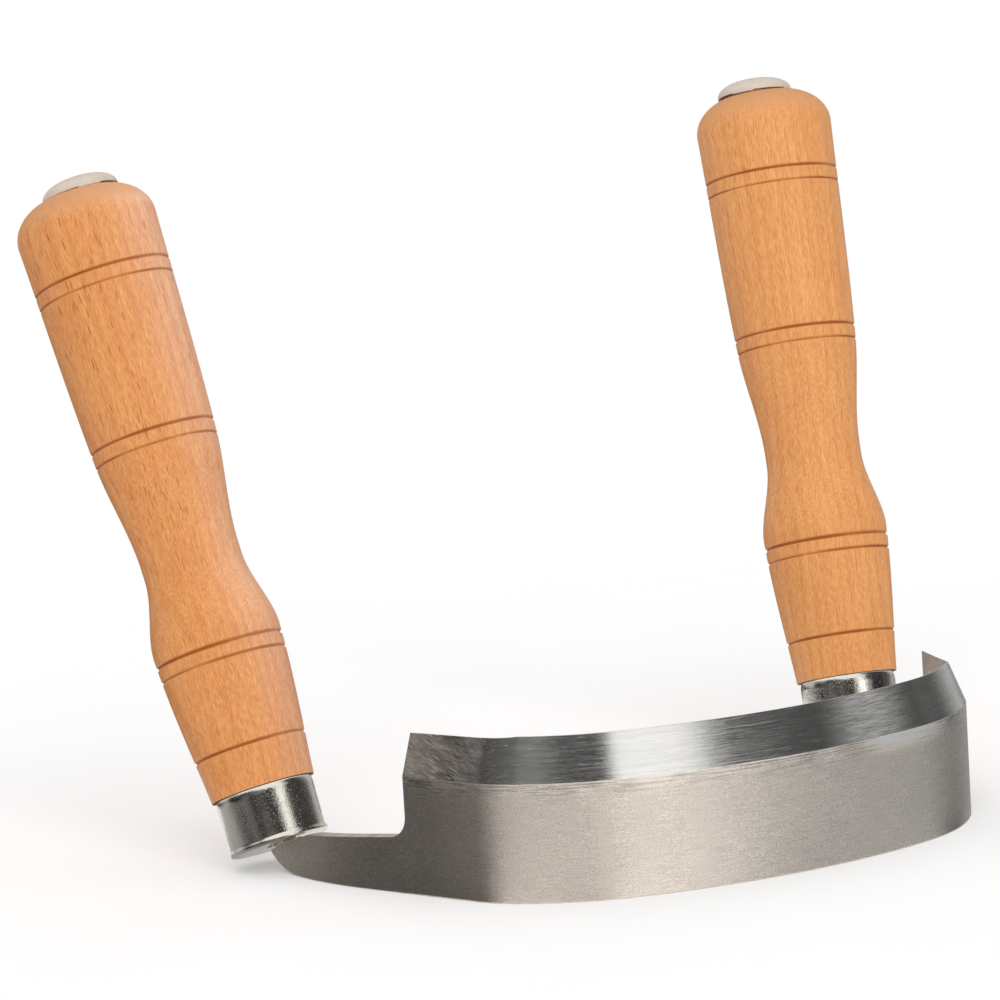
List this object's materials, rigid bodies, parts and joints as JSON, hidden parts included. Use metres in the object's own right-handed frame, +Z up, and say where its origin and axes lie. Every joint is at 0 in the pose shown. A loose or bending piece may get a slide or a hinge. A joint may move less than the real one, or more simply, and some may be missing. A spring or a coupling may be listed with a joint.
{
  "type": "inshave",
  "caption": "Bent hand blade for hollowing wood, with a U-shaped edge bevelled outside, tangs turned up into leaning turned beech handles, ferrules and end caps.",
  "frame": {"origin": "middle of the blade's back edge, at half its thickness", "axes": "+X from the left handle to the right one, +Y from the front of the blade to the handles, +Z up toward the cutting edge"},
  "size_m": [0.194, 0.1461, 0.1509],
  "materials": {
    "blade_steel": "ground satin, polished bevel",
    "left_beech": "satin varnish",
    "right_beech": "satin varnish",
    "ferrule_nickel": "bright nickel",
    "cap_metal": "satin nickel",
    "spring_steel": "dark spring steel"
  },
  "bodies": {
    "root": {"blade": "blade_steel", "left_handle": "left_beech", "right_handle": "right_beech", "left_ferrule": "ferrule_nickel", "right_ferrule": "ferrule_nickel", "left_end_cap": "cap_metal", "right_end_cap": "cap_metal", "left_lock_ring": "spring_steel", "right_lock_ring": "spring_steel"}
  },
  "joints": []
}
